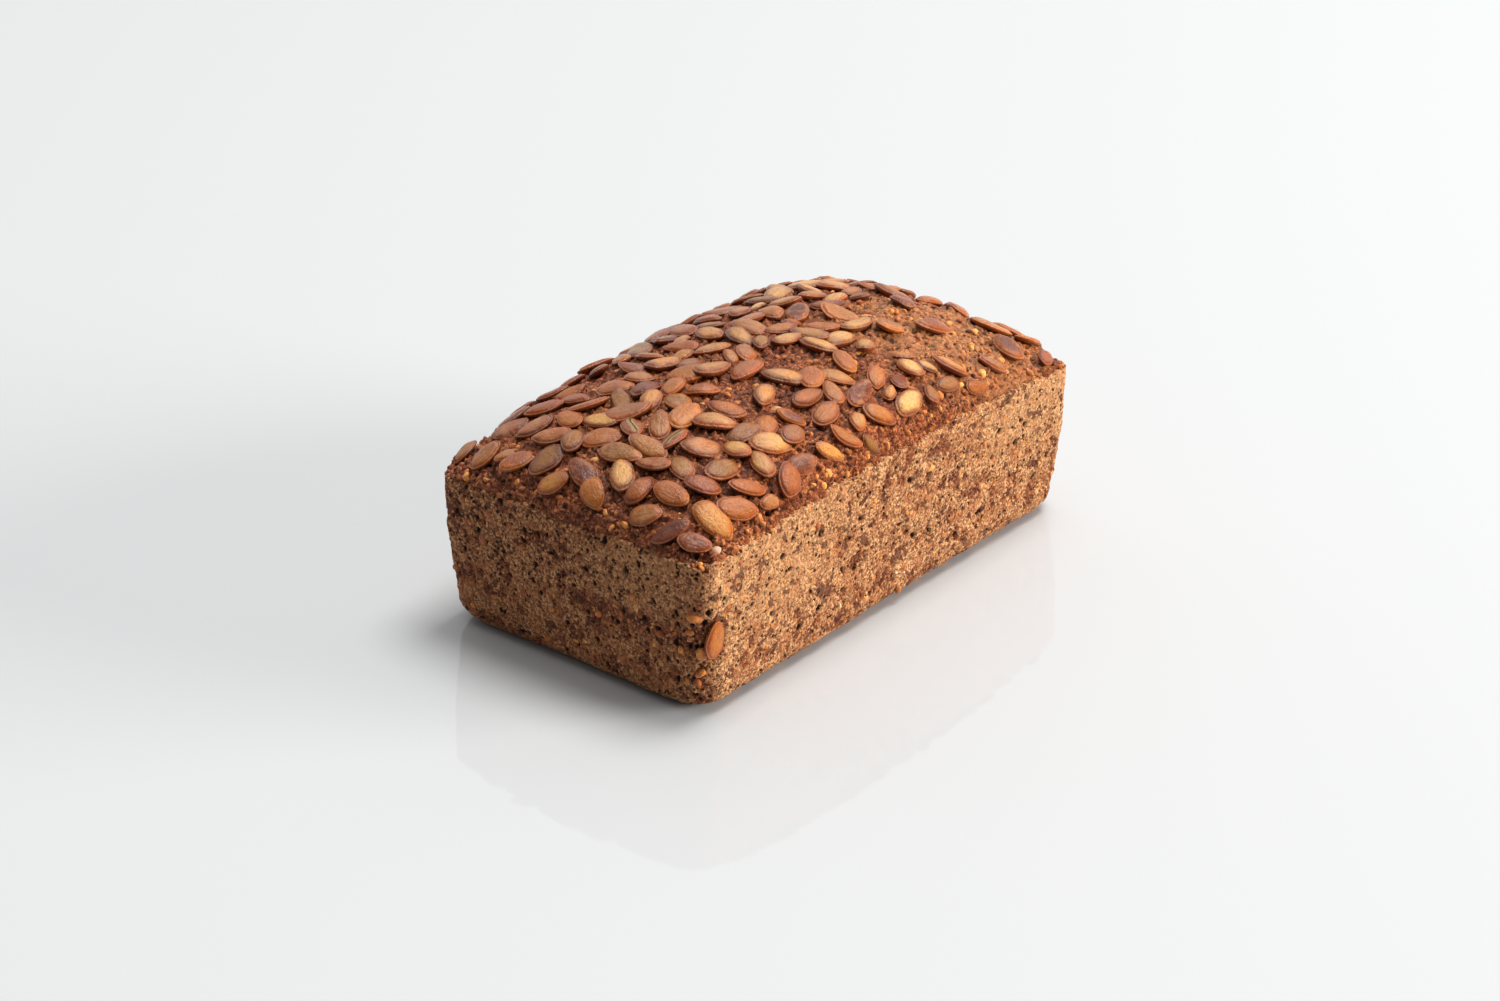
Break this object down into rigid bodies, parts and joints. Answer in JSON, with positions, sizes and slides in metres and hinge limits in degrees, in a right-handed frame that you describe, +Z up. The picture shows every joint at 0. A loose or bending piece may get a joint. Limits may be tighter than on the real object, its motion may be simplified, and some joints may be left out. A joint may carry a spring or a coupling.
{
  "type": "seeded rye tin loaf",
  "caption": "Dense rye loaf baked in an oblong tin: straight drafted sides, rounded edges, domed top covered with pumpkin kernels. Stands on its flat base.",
  "frame": {"origin": "middle of the flat base that the loaf stands on", "axes": "+Z up, X along the loaf, Y across it"},
  "size_m": [0.188, 0.105, 0.0752],
  "materials": {
    "crust": "rough baked crust",
    "kernels": "satin roasted pumpkin kernels",
    "grains": "small baked grains"
  },
  "bodies": {
    "root": {"loaf": "crust"}
  },
  "joints": []
}
